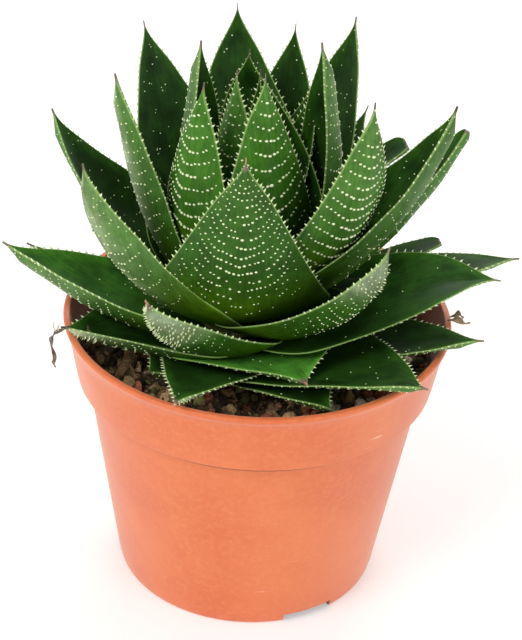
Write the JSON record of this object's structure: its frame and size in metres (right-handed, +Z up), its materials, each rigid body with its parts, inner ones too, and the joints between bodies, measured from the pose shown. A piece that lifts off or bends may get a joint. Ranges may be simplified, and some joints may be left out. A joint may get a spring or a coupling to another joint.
{
  "type": "potted aloe",
  "caption": "Potted aloe: a dense rosette of thick, pointed leaves with toothed edges on a short stem, in a soil-filled nursery pot with a banded rim.",
  "frame": {"origin": "centre of the pot's foot, on the surface that the pot stands on", "axes": "+Z up along the pot's axis; -Y is the side seen in the picture"},
  "size_m": [0.1582, 0.1305, 0.1801],
  "materials": {
    "pot_plastic": "satin moulded plastic, terracotta orange, lightly scuffed",
    "soil": "dark brown crumbly potting compost with lighter fibres",
    "stem": "pale green-brown plant tissue",
    "leaf": "waxy dark green above, paler green below with raised white tubercles in cross rows, white teeth along the edges"
  },
  "bodies": {
    "root": {"pot": "pot_plastic", "soil": "soil", "stem": "stem", "leaf_01": "leaf", "leaf_02": "leaf", "leaf_03": "leaf", "leaf_04": "leaf", "leaf_05": "leaf", "leaf_06": "leaf", "leaf_07": "leaf", "leaf_08": "leaf", "leaf_09": "leaf", "leaf_10": "leaf", "leaf_11": "leaf", "leaf_12": "leaf", "leaf_13": "leaf", "leaf_14": "leaf", "leaf_15": "leaf", "leaf_16": "leaf", "leaf_17": "leaf", "leaf_18": "leaf", "leaf_19": "leaf", "leaf_20": "leaf", "leaf_21": "leaf", "leaf_22": "leaf", "leaf_23": "leaf", "leaf_24": "leaf", "leaf_25": "leaf", "leaf_26": "leaf", "leaf_27": "leaf", "leaf_28": "leaf", "leaf_29": "leaf", "leaf_30": "leaf", "leaf_31": "leaf", "leaf_32": "leaf", "leaf_33": "leaf", "leaf_34": "leaf", "leaf_35": "leaf", "leaf_36": "leaf", "leaf_37": "leaf", "leaf_38": "leaf", "leaf_39": "leaf", "leaf_40": "leaf", "leaf_41": "leaf", "leaf_42": "leaf", "leaf_43": "leaf"}
  },
  "joints": []
}
